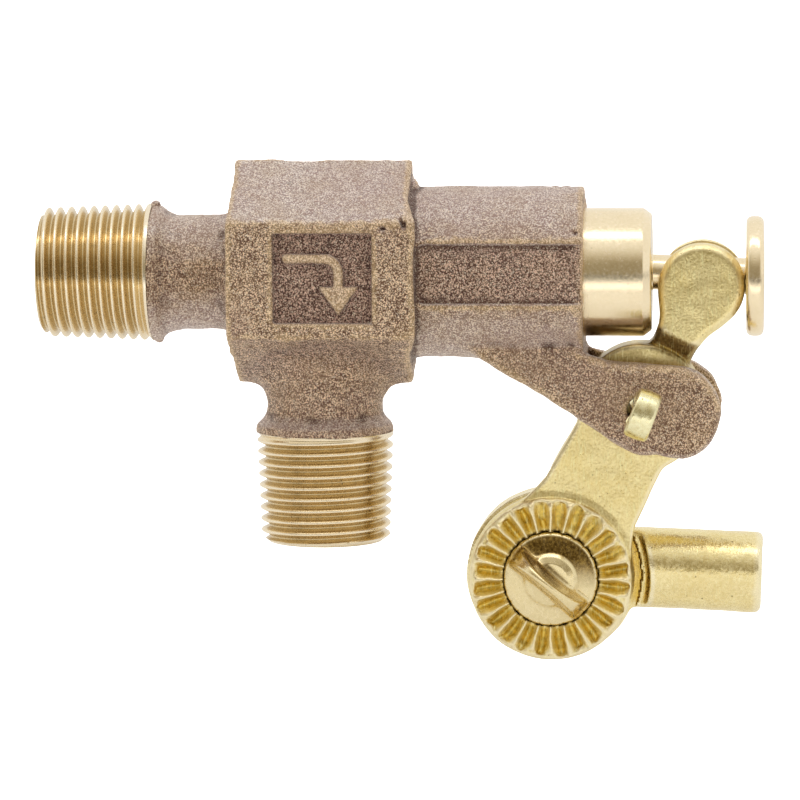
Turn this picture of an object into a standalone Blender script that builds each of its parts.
"""Lever-operated float valve for a tank, with 3/8 inch male taper-thread ends.

A bronze body carries a sliding plunger with a rubber seat disc. A brass lever,
pinned between two ears of the body, straddles the plunger's stem with its fork
and holds a toothed disc at its lower end. The float-rod holder meshes with that
disc and is clamped to it by a thumb screw and a nut.

Design coordinates are millimetres: x runs along the inlet and the plunger,
y is measured from the plunger's axis and points to the rear, z points up, and
the outlet's axis is at x = 0. The object's origin is the centre of the hexagonal
block's rear flat, so world y = y - HEX_FLAT.
"""

import math

import bmesh
import bpy
from mathutils import Matrix, Vector

MM = 0.001
ORIGIN = (0, 0, 0)

# Body
HEX_VERTEX = 14.0            # hexagonal block, axis to vertex
HEX_FLAT = HEX_VERTEX * math.cos(math.radians(30))
BLOCK_X = (-11.4, 11.0)
BLOCK_CHAMFER = 0.8
END_SCALE = 0.94             # size of a chamfered hexagon's end face against its middle
INLET_END = -35.3
OUTLET_END = -33.7
THREAD_SMALL = 8.05          # crest radius at the thread's small end
THREAD_LARGE = 8.57          # crest radius where the thread runs out
NECK_R = 7.15
SPIGOT_ROOT = -9.0           # where the spigots end inside the block
INLET_BORE_R = 4.6
OUTLET_BORE_R = 5.2
ORIFICE_R = 2.9
SEAT_X = -5.6                # face of the seat nozzle
CHAMBER_X = -8.2             # floor of the chamber round the nozzle
BARREL_R = 10.55
BARREL_END = 32.5
BORE_R = 8.15
PANEL_X = (-5.2, 6.9)        # sunk panel on the front flat
PANEL_Z = (-5.3, 5.7)
PANEL_DEPTH = 0.6
BAND_START = 12.2            # sunk band along the barrel's front
BAND_Z = (-3.1, 4.1)
BAND_FLOOR_Y = -9.6
EAR_IN, EAR_OUT = 3.65, 6.35  # ears, distance from the mid plane
SLOT_X = 30.3                # closed end of the slot between the ears
SLOT_STEP_Z = -11.35         # above this the slot starts beyond the barrel
SLOT_GAP = 0.3               # from the barrel's end to the slot's upper part

# Plunger
PLUNGER_R = 7.95
PLUNGER_FACE = 40.75
STEM_R = 2.2
BUTTON_X = 52.5
BUTTON_R = 7.45
GROOVE_X = (12.4, 15.4)
O_RING_X = sum(GROOVE_X) / 2
O_RING_R = 6.72              # centre line of the ring
O_RING_SECTION_R = 1.08
DISC_FACE = SEAT_X + 3.5     # rubber face, with the valve open

# Lever
PIVOT = (39.5, 0, -16.6)
FORK = (46.95, 0, -1.2)      # centre of the prongs' rounded ends
PRONG_R = 5.35
PRONG_IN, PRONG_OUT = 2.5, 4.4
HUB_R = 7.9
HUB_HALF = 3.3
PIVOT_HOLE_R = 2.1

# Toothed joint
JOINT = (28.35, 0, -38.0)
TEETH = 24
TOOTH_STEPS = 2 * TEETH      # one step on each crest and one in each valley
TOOTH_IN, TOOTH_OUT = 6.05, 9.3
CREST, VALLEY = 0.25, 0.55   # crest beyond and valley short of the mesh plane
MESH_Y = -0.8                # plane in which the teeth mesh
LEVER_DISC_R = 10.25
HOLDER_DISC_R = 10.4
HOLE_R = 2.65

# Rod holder
ROD_TILT = math.radians(-2.3)
ROD_OFFSET = 1.0             # rod axis above the joint's centre
ROD_Y = 2.0
ROD_R = 5.0
ROD_END = 26.3
ROD_BORE_R = 2.75

# Thumb screw
SHANK_R = 2.4
BLADE_ANGLE = math.radians(-40)
BLADE_REACH = 5.2            # half-length at which the blade would taper to nothing
BLADE_CUT = 5.15             # half-length at which it is cut off
BLADE_TIP_HEIGHT = 0.35      # height a tapered-out end would keep
BLADE_RISE = 5.5             # what the middle adds to that

# Lock washer: radii, faces, half the gap in degrees, and half the axial offset of its ends
WASHER_R = (2.7, 4.2)
WASHER_Y = (3.1, 4.0)
WASHER_HALF_GAP = 6
WASHER_OFFSET = 0.12

# Clamp nut
NUT_FLATS = 9.5
NUT_R = NUT_FLATS / 2 / math.cos(math.radians(30))
NUT_Y = (4.4, 7.6)
NUT_CHAMFER = 0.3
NUT_TURN = 12                # degrees

# Cotter pin
PIN_ANGLE = math.radians(70)  # direction in the x-z plane in which the legs spread
PIN_REACH = 1.15             # half-round section: reach outwards
PIN_HALF_WIDTH = 1.25        # and half-width across
EYE_Y = -9.0
EYE_R = 1.75

# Directions for turned shapes: two across the axis, then the one along it
ALONG_X = ((0, 1, 0), (0, 0, 1), (1, 0, 0))
ALONG_Y = ((1, 0, 0), (0, 0, 1), (0, 1, 0))
ALONG_Z = ((1, 0, 0), (0, 1, 0), (0, 0, 1))


# ------------------------------------------------------------------- helpers
def at(x, y, z):
    """World place of a design point."""
    return Vector((x, y - HEX_FLAT, z)) * MM


def material(name, colour, roughness, metallic):
    made = bpy.data.materials.new(name)
    made.use_nodes = True
    shader = made.node_tree.nodes["Principled BSDF"]
    shader.inputs["Base Color"].default_value = (*colour, 1)
    shader.inputs["Roughness"].default_value = roughness
    shader.inputs["Metallic"].default_value = metallic
    made.diffuse_color = (*colour, 1)
    return made


def solid(name, points, faces):
    """One closed mesh object with its faces pointing out."""
    mesh = bpy.data.meshes.new(name)
    mesh.from_pydata([tuple(p) for p in points], [], faces)
    work = bmesh.new()
    work.from_mesh(mesh)
    bmesh.ops.recalc_face_normals(work, faces=work.faces)
    work.to_mesh(mesh)
    work.free()
    mesh.shade_smooth()
    mesh.set_sharp_from_angle(angle=math.radians(35))
    made = bpy.data.objects.new(name, mesh)
    bpy.context.scene.collection.objects.link(made)
    return made


def revolve(name, profile, centre, axes, steps, turn=0):
    """Turns a profile of (radius, height) points round an axis.

    profile is a list, or a function of the step that gives one, for a face with
    teeth. It starts and ends on the axis, or it closes on itself round a hole.
    turn is the angle of the first step in degrees.
    """
    across, up, along = (Vector(a) for a in axes)
    profile_at = profile if callable(profile) else lambda step: profile
    first = profile_at(0)
    solid_core = first[0][0] < 1e-9
    points, index = [], {}
    for step in range(steps):
        angle = 2 * math.pi * step / steps + math.radians(turn)
        out = across * math.cos(angle) + up * math.sin(angle)
        for k, (radius, height) in enumerate(profile_at(step)):
            if radius < 1e-9 and step:
                index[step, k] = index[0, k]    # points on the axis are shared
                continue
            index[step, k] = len(points)
            points.append(at(*(Vector(centre) + out * radius + along * height)))
    count = len(first)
    faces = []
    for step in range(steps):
        following = (step + 1) % steps
        for k in range(count - 1 if solid_core else count):
            nxt = (k + 1) % count
            ring = [index[step, k], index[step, nxt], index[following, nxt], index[following, k]]
            corners = [v for i, v in enumerate(ring) if v != ring[i - 1]]
            if len(corners) > 2:
                faces.append(corners)
    return solid(name, points, faces)


def cylinder(name, radius, start, end, centre, axes, steps, turn=0):
    profile = [(0, start), (radius, start), (radius, end), (0, end)]
    return revolve(name, profile, centre, axes, steps, turn)


def loft(name, rings):
    """Joins equal rings of design points into one closed solid with flat ends."""
    count = len(rings[0])
    points = [at(*p) for ring in rings for p in ring]
    faces = [list(range(count)), list(range(len(points) - count, len(points)))]
    for start in range(0, len(points) - count, count):
        for k in range(count):
            nxt = (k + 1) % count
            faces.append([start + k, start + nxt, start + count + nxt, start + count + k])
    return solid(name, points, faces)


def prism(name, outline, y0, y1):
    """Extrudes an outline of (x, z) points between two y planes."""
    return loft(name, [[(x, y, z) for x, z in outline] for y in (y0, y1)])


def box(name, x0, x1, y0, y1, z0, z1):
    return prism(name, [(x0, z0), (x1, z0), (x1, z1), (x0, z1)], y0, y1)


def polar(radius, degrees):
    angle = math.radians(degrees)
    return radius * math.cos(angle), radius * math.sin(angle)


def arc(centre, radius, start, end, steps):
    places = [polar(radius, start + (end - start) * i / steps) for i in range(steps + 1)]
    return [(centre[0] + across, centre[1] + up) for across, up in places]


def hexagon(radius, turn):
    return [polar(radius, 60 * k + turn) for k in range(6)]


def chamfered(start, end, chamfer):
    """Stations (place, scale) of a hexagonal prism with chamfered ends."""
    return (start, END_SCALE), (start + chamfer, 1), (end - chamfer, 1), (end, END_SCALE)


def offset(centre, y, first, reach, second, side):
    """Design point at y, moved from centre along two directions in the x-z plane."""
    place = Vector(centre) + first * reach + second * side
    return place.x, y, place.z


def combine(target, operation, *tools, solver="EXACT"):
    for tool in tools:
        step = target.modifiers.new(tool.name, "BOOLEAN")
        step.operation = operation
        step.solver = solver
        step.object = tool
        tool.hide_render = True
        tool.display_type = "WIRE"


def finish(piece, look, origin=None):
    """Gives a piece its material and, where asked, its origin at a design point."""
    piece.data.materials.append(look)
    if origin is not None:
        place = at(*origin)
        piece.data.transform(Matrix.Translation(-place))
        piece.location = place


# ---------------------------------------------------------------- valve body
def spigot(name, end, thread_end, shoulder, axes):
    """Tapered spigot; shoulder lists (radius, place) from the thread to the block."""
    thread = [
        (0, end), (THREAD_SMALL - 0.6, end), (THREAD_SMALL, end + 0.7),
        (THREAD_LARGE, thread_end),
    ]
    return revolve(name, thread + shoulder + [(0, SPIGOT_ROOT)], ORIGIN, axes, 36)


def body_castings():
    """Inlet, outlet, barrel and the web for the ears, to be joined to the block."""
    inlet_shoulder = [
        (NECK_R + 0.3, -20.2), (NECK_R, -19.4), (NECK_R, -14.2),
        (NECK_R + 0.7, -12.6), (9.3, -11.2), (9.3, SPIGOT_ROOT),
    ]
    inlet = spigot("inlet_spigot", INLET_END, -21.4, inlet_shoulder, ALONG_X)
    outlet_shoulder = [
        (NECK_R + 0.3, -18.9), (NECK_R, -18.1), (NECK_R, -15.9),
        (NECK_R + 0.8, -14.2), (9.4, -12.6), (9.4, SPIGOT_ROOT),
    ]
    outlet = spigot("outlet_spigot", OUTLET_END, -20.0, outlet_shoulder, ALONG_Z)
    barrel_profile = [
        (0, 8.6), (11.4, 8.6), (11.2, 11.4), (10.75, 12.1), (BARREL_R, 13.0),
        (BARREL_R, BARREL_END - 0.3), (BARREL_R - 0.3, BARREL_END), (0, BARREL_END),
    ]
    barrel = revolve("barrel_casting", barrel_profile, ORIGIN, ALONG_X, 36)
    ear_outline = (
        [(16.8, -8.6), (17.9, -9.75)]
        + arc((40.6, -15.4), 6.85, -121.3, -84, 4)
        + arc((43.6, -17.0), 5.85, -78, 84, 14)
        + [(41.0, -11.0), (36.0, -10.7), (33.2, -9.9), (31.0, -8.8)]
    )
    ears = prism("ear_web", ear_outline, -EAR_OUT, EAR_OUT)
    return inlet, outlet, barrel, ears


def body_waterway():
    """Inlet bore, orifice, nozzle, chamber and barrel bore, with the outlet bore."""
    profile = [
        (0, INLET_END - 1), (INLET_BORE_R, INLET_END - 1), (INLET_BORE_R, -12.6),
        (ORIFICE_R, -11.4), (ORIFICE_R, SEAT_X), (3.7, SEAT_X), (4.4, CHAMBER_X),
        (BORE_R, CHAMBER_X), (BORE_R, BARREL_END + 1), (0, BARREL_END + 1),
    ]
    waterway = revolve("waterway", profile, ORIGIN, ALONG_X, 36)
    outlet_bore = cylinder(
        "outlet_bore", OUTLET_BORE_R, OUTLET_END - 1, -6.0, ORIGIN, ALONG_Z, 24, turn=4
    )
    combine(waterway, "UNION", outlet_bore)
    return waterway


def body_cuts():
    """Slot between the ears, pivot hole, and the two sunk areas on the front."""
    slot_outline = [
        (SLOT_X, -30), (55, -30), (55, -6), (BARREL_END + SLOT_GAP, -6),
        (BARREL_END + SLOT_GAP, SLOT_STEP_Z), (SLOT_X, SLOT_STEP_Z),
    ]
    ear_slot = prism("ear_slot", slot_outline, -EAR_IN, EAR_IN)
    pin_hole = cylinder("pin_hole", PIVOT_HOLE_R, -9, 9, PIVOT, ALONG_Y, 24)
    panel_cut = box("panel_cut", *PANEL_X, -14, -HEX_FLAT + PANEL_DEPTH, *PANEL_Z)
    band_cut = box("band_cut", BAND_START, BARREL_END + 1, -12, BAND_FLOOR_Y, *BAND_Z)
    return ear_slot, pin_hole, panel_cut, band_cut


def build_body():
    block_rings = [
        [(x, y, z) for y, z in hexagon(HEX_VERTEX * scale, 90)]
        for x, scale in chamfered(*BLOCK_X, BLOCK_CHAMFER)
    ]
    body = loft("valve_body", block_rings)
    combine(body, "UNION", *body_castings())
    combine(body, "DIFFERENCE", body_waterway())
    combine(body, "DIFFERENCE", *body_cuts(), solver="MANIFOLD")
    finish(body, BRONZE)


# ------------------------------------------------------------------- plunger
def build_plunger():
    profile = [
        # screw hole and pocket for the seat disc
        (0, 8.4), (1.35, 8.4), (1.35, 1.4), (4.85, 1.4), (4.85, -0.9),
        # nose and O-ring groove
        (5.6, -0.9), (5.6, 7.6), (6.4, 9.2), (PLUNGER_R, 10.4), (PLUNGER_R, GROOVE_X[0]),
        (5.45, GROOVE_X[0]), (5.45, GROOVE_X[1]), (PLUNGER_R, GROOVE_X[1]),
        # outer end and stem
        (PLUNGER_R, PLUNGER_FACE - 1), (PLUNGER_R - 1, PLUNGER_FACE),
        (STEM_R, PLUNGER_FACE), (STEM_R, BUTTON_X),
        # button
        (BUTTON_R - 0.9, BUTTON_X), (BUTTON_R - 0.25, BUTTON_X + 0.35),
        (BUTTON_R, BUTTON_X + 1.0), (BUTTON_R - 0.25, BUTTON_X + 1.65),
        (BUTTON_R - 0.9, BUTTON_X + 2.0), (0, BUTTON_X + 2.25),
    ]
    plunger = revolve("plunger", profile, ORIGIN, ALONG_X, 36)
    finish(plunger, TURNED_BRASS, (BARREL_END, 0, 0))


def build_seat_disc():
    profile = [(1.4, DISC_FACE), (4.6, DISC_FACE), (4.6, 1.15), (1.4, 1.15)]
    seat_disc = revolve("seat_disc", profile, ORIGIN, ALONG_X, 24)
    finish(seat_disc, BLACK_RUBBER, (DISC_FACE, 0, 0))


def build_seat_disc_screw():
    profile = [
        (0, -3.45), (1.7, -3.35), (2.2, -2.95), (2.2, -2.35),
        (1.1, -2.35), (1.1, 7.8), (0.8, 8.1), (0, 8.1),
    ]
    screw = revolve("seat_disc_screw", profile, ORIGIN, ALONG_X, 20)
    driver_slot = box("driver_slot", -4.0, -3.05, -0.3, 0.3, -3, 3)
    combine(screw, "DIFFERENCE", driver_slot)
    finish(screw, TURNED_BRASS, (DISC_FACE, 0, 0))


def build_o_ring():
    section = [polar(O_RING_SECTION_R, 36 * k) for k in range(10)]
    profile = [(O_RING_R + across, O_RING_X + along) for across, along in section]
    o_ring = revolve("plunger_o_ring", profile, ORIGIN, ALONG_X, 36)
    finish(o_ring, BLACK_RUBBER, (O_RING_X, 0, 0))


# --------------------------------------------------------------------- lever
def tooth(step, crest, valley):
    """Height of a toothed face, with a crest on each even step."""
    return valley if step % 2 else crest


def lever_disc_profile(step):
    front = tooth(step, -4.6, -3.9)
    rear = tooth(step, MESH_Y + CREST, MESH_Y - VALLEY)
    return [
        (HOLE_R, -2.9), (TOOTH_IN, -2.9), (TOOTH_IN, front), (TOOTH_OUT, front),
        (9.7, -3.95), (LEVER_DISC_R, -3.5), (LEVER_DISC_R, -1.8), (9.8, -1.45),
        (TOOTH_OUT, rear), (TOOTH_IN, rear), (TOOTH_IN, -1.45), (HOLE_R, -1.45),
    ]


def lever_arm():
    """Arm from the pivot down to the joint, cut back behind the lever's disc."""
    down = (Vector(JOINT) - Vector(PIVOT)).normalized()
    right = Vector((-down.z, 0, down.x))
    # distance from the pivot, distance to the right of the arm's line
    outline = [
        (0, -6.1), (13.6, -6.9), (16.2, -7.6), (17.7, -7.7),
        (17.7, 7.2), (16.2, 6.7), (13.8, 5.9), (0, 5.5),
    ]
    rings = [
        [offset(PIVOT, y, down, reach, right, side) for reach, side in outline]
        for y in (-HUB_HALF, HUB_HALF)
    ]
    arm = loft("arm", rings)
    arm_relief = cylinder("arm_relief", HOLDER_DISC_R + 2.8, -1.7, 6, JOINT, ALONG_Y, 32)
    combine(arm, "DIFFERENCE", arm_relief)
    return arm


def lever_fork():
    """Neck rising from the hub, then two round-ended prongs."""
    rise = Vector(FORK) - Vector(PIVOT)
    fork_reach = rise.length
    rise.normalize()
    right = Vector((rise.z, 0, -rise.x))

    def ring(reach, left_side, right_side, half):
        corners = (left_side, -half), (right_side, -half), (right_side, half), (left_side, half)
        return [offset(PIVOT, y, rise, reach, right, side) for side, y in corners]

    rings = [
        ring(4.0, -3.4, 3.6, HUB_HALF - 0.15),
        ring(6.6, -2.6, 3.1, HUB_HALF),
        ring(8.2, -2.2, 2.9, 3.75),
        ring(10.2, -2.3, 3.2, PRONG_OUT),
    ]
    for k in range(11):
        half_width, height = polar(PRONG_R, -50 + 13.7 * k)
        rings.append(ring(fork_reach + height, -half_width, half_width, PRONG_OUT))
    fork = loft("fork", rings)
    fork_slot = loft("fork_slot", [ring(reach, -9, 9, PRONG_IN) for reach in (9.0, 30.0)])
    combine(fork, "DIFFERENCE", fork_slot)
    return fork


def build_lever():
    lever = revolve("lever", lever_disc_profile, JOINT, ALONG_Y, TOOTH_STEPS)
    hub_profile = [
        (0, -HUB_HALF), (HUB_R - 0.5, -HUB_HALF), (HUB_R, -HUB_HALF + 0.5),
        (HUB_R, HUB_HALF - 0.5), (HUB_R - 0.5, HUB_HALF), (0, HUB_HALF),
    ]
    hub = revolve("hub", hub_profile, PIVOT, ALONG_Y, 32)
    hub_hole = cylinder("hub_hole", PIVOT_HOLE_R, -6, 6, PIVOT, ALONG_Y, 24)
    combine(lever, "UNION", lever_arm(), hub, lever_fork())
    combine(lever, "DIFFERENCE", hub_hole)
    finish(lever, CAST_BRASS, PIVOT)


# ---------------------------------------------------------------- cotter pin
def build_cotter_pin():
    """Half-round wire run from one leg's tip round the eye to the other's."""
    spread = Vector((math.cos(PIN_ANGLE), 0, math.sin(PIN_ANGLE)))
    across = Vector((math.sin(PIN_ANGLE), 0, -math.cos(PIN_ANGLE)))
    # y and spread of one leg, from its bent tip at the rear to the eye at the front
    leg = [
        (8.6, 4.3), (8.45, 2.9), (8.1, 1.5), (7.5, 0.55), (6.8, 0.15),
        (0, 0.15), (-6.3, 0.15), (-6.9, 0.35), (-7.4, 0.9),
    ]
    eye = [polar(EYE_R, degrees) for degrees in (55, 80, 105, 130, 155)]
    half_path = leg + [(EYE_Y + y, aside) for y, aside in eye]
    path = half_path + [(EYE_Y - EYE_R, 0)] + [(y, -aside) for y, aside in reversed(half_path)]
    rings = []
    for k, (y, aside) in enumerate(path):
        before = path[max(k - 1, 0)]
        after = path[min(k + 1, len(path) - 1)]
        heading = Vector((after[0] - before[0], after[1] - before[1])).normalized()
        out = Vector((heading.y, -heading.x))
        ring = []
        for j in range(7):
            angle = math.radians(-90 + 30 * j)
            reach = PIN_REACH * math.cos(angle)
            side = PIN_HALF_WIDTH * math.sin(angle)
            ring.append(
                offset(PIVOT, y + out.x * reach, spread, aside + out.y * reach, across, side)
            )
        rings.append(ring)
    finish(loft("pivot_cotter_pin", rings), PIN_BRASS, PIVOT)


# ---------------------------------------------------------------- rod holder
def holder_disc_profile(step):
    front = tooth(step + 1, MESH_Y - CREST, MESH_Y + VALLEY)
    return [
        (HOLE_R, MESH_Y + 0.6), (TOOTH_IN, MESH_Y + 0.6), (TOOTH_IN, front),
        (TOOTH_OUT, front), (9.8, MESH_Y + 0.6), (HOLDER_DISC_R, MESH_Y + 1.0),
        (HOLDER_DISC_R, 4.4), (9.95, 4.85), (6.6, 4.85), (6.4, 2.7), (HOLE_R, 2.7),
    ]


def build_rod_holder():
    rod = Vector((math.cos(ROD_TILT), 0, math.sin(ROD_TILT)))
    rod_up = Vector((-math.sin(ROD_TILT), 0, math.cos(ROD_TILT)))
    rod_axes = ((0, 1, 0), rod_up, rod)
    rod_start = offset(JOINT, ROD_Y, rod, 0, rod_up, ROD_OFFSET)
    profile = [
        (0, 7.4), (ROD_R, 7.4), (ROD_R, ROD_END - 0.8),
        (ROD_R - 0.25, ROD_END - 0.25), (ROD_R - 0.8, ROD_END), (0, ROD_END),
    ]
    holder = revolve("rod_holder", profile, rod_start, rod_axes, 32)
    front_scoop = cylinder("front_scoop", 12.3, -6, MESH_Y + 0.65, JOINT, ALONG_Y, 40)
    rear_scoop = cylinder("rear_scoop", 11.6, 4.7, 9, JOINT, ALONG_Y, 40)
    disc = revolve("holder_disc", holder_disc_profile, JOINT, ALONG_Y, TOOTH_STEPS)
    bore_profile = [
        (0, 13.5), (ROD_BORE_R, 14.6), (ROD_BORE_R, ROD_END + 1), (0, ROD_END + 1),
    ]
    rod_bore = revolve("rod_bore", bore_profile, rod_start, rod_axes, 24)
    combine(holder, "DIFFERENCE", front_scoop, rear_scoop)
    combine(holder, "UNION", disc)
    combine(holder, "DIFFERENCE", rod_bore)
    finish(holder, CAST_BRASS, JOINT)


# --------------------------------------------------------------- thumb screw
def thumb_blade():
    """Domed blade on the front of the screw's head, thickest in the middle."""
    grip = Vector((math.cos(BLADE_ANGLE), 0, math.sin(BLADE_ANGLE)))
    grip_side = Vector((-math.sin(BLADE_ANGLE), 0, math.cos(BLADE_ANGLE)))
    rings = []
    for k in range(11):
        reach = BLADE_CUT * math.sin((-1 + 0.2 * k) * math.pi / 2)
        fullness = 1 - (reach / BLADE_REACH) ** 2
        tip_y = -4.3 - BLADE_TIP_HEIGHT - BLADE_RISE * math.sqrt(fullness)
        thick = 0.4 + 0.85 * fullness
        corners = (-thick, -3.9), (thick, -3.9), (0.5 * thick, tip_y), (-0.5 * thick, tip_y)
        rings.append([offset(JOINT, y, grip, reach, grip_side, side) for side, y in corners])
    return loft("thumb_blade", rings)


def build_thumb_screw():
    profile = [
        (0, -5.45), (2.3, -5.35), (3.05, -4.95), (3.3, -4.75), (5.0, -4.45),
        (5.7, -4.05), (5.85, -3.7), (5.6, -3.2), (SHANK_R, -3.2),
        (SHANK_R, 9.7), (SHANK_R - 0.4, 10.1), (0, 10.1),
    ]
    screw = revolve("thumb_screw", profile, JOINT, ALONG_Y, 28)
    combine(screw, "UNION", thumb_blade())
    finish(screw, TURNED_BRASS, JOINT)


# -------------------------------------------------------- lock washer and nut
def build_lock_washer():
    """Split ring whose two ends are offset along y."""
    inner, outer = WASHER_R
    front, rear = WASHER_Y
    section = (inner, front), (outer, front), (outer, rear), (inner, rear)
    rings = []
    for k in range(25):
        degrees = WASHER_HALF_GAP + (360 - 2 * WASHER_HALF_GAP) * k / 24
        shift = WASHER_OFFSET * (2 * k / 24 - 1)
        ring = []
        for radius, y in section:
            x, z = polar(radius, degrees)
            ring.append((JOINT[0] + x, y + shift, JOINT[2] + z))
        rings.append(ring)
    finish(loft("lock_washer", rings), STEEL, JOINT)


def build_clamp_nut():
    rings = [
        [(JOINT[0] + x, y, JOINT[2] + z) for x, z in hexagon(NUT_R * scale, NUT_TURN)]
        for y, scale in chamfered(*NUT_Y, NUT_CHAMFER)
    ]
    nut = loft("clamp_nut", rings)
    nut_hole = cylinder("nut_hole", HOLE_R, 3, 9, JOINT, ALONG_Y, 28)
    combine(nut, "DIFFERENCE", nut_hole)
    finish(nut, CAST_BRASS, JOINT)


for old in list(bpy.data.objects):
    bpy.data.objects.remove(old, do_unlink=True)

BRONZE = material("cast_bronze", colour=(0.42, 0.29, 0.21), roughness=0.55, metallic=0.85)
TURNED_BRASS = material("turned_brass", colour=(0.80, 0.66, 0.40), roughness=0.22, metallic=1.0)
CAST_BRASS = material("cast_brass", colour=(0.75, 0.62, 0.28), roughness=0.35, metallic=1.0)
PIN_BRASS = material("pin_brass", colour=(0.74, 0.69, 0.42), roughness=0.3, metallic=1.0)
BLACK_RUBBER = material("black_rubber", colour=(0.03, 0.03, 0.03), roughness=0.8, metallic=0.0)
STEEL = material("spring_steel", colour=(0.55, 0.55, 0.56), roughness=0.35, metallic=1.0)

build_body()
build_plunger()
build_seat_disc()
build_seat_disc_screw()
build_o_ring()
build_lever()
build_cotter_pin()
build_rod_holder()
build_thumb_screw()
build_lock_washer()
build_clamp_nut()
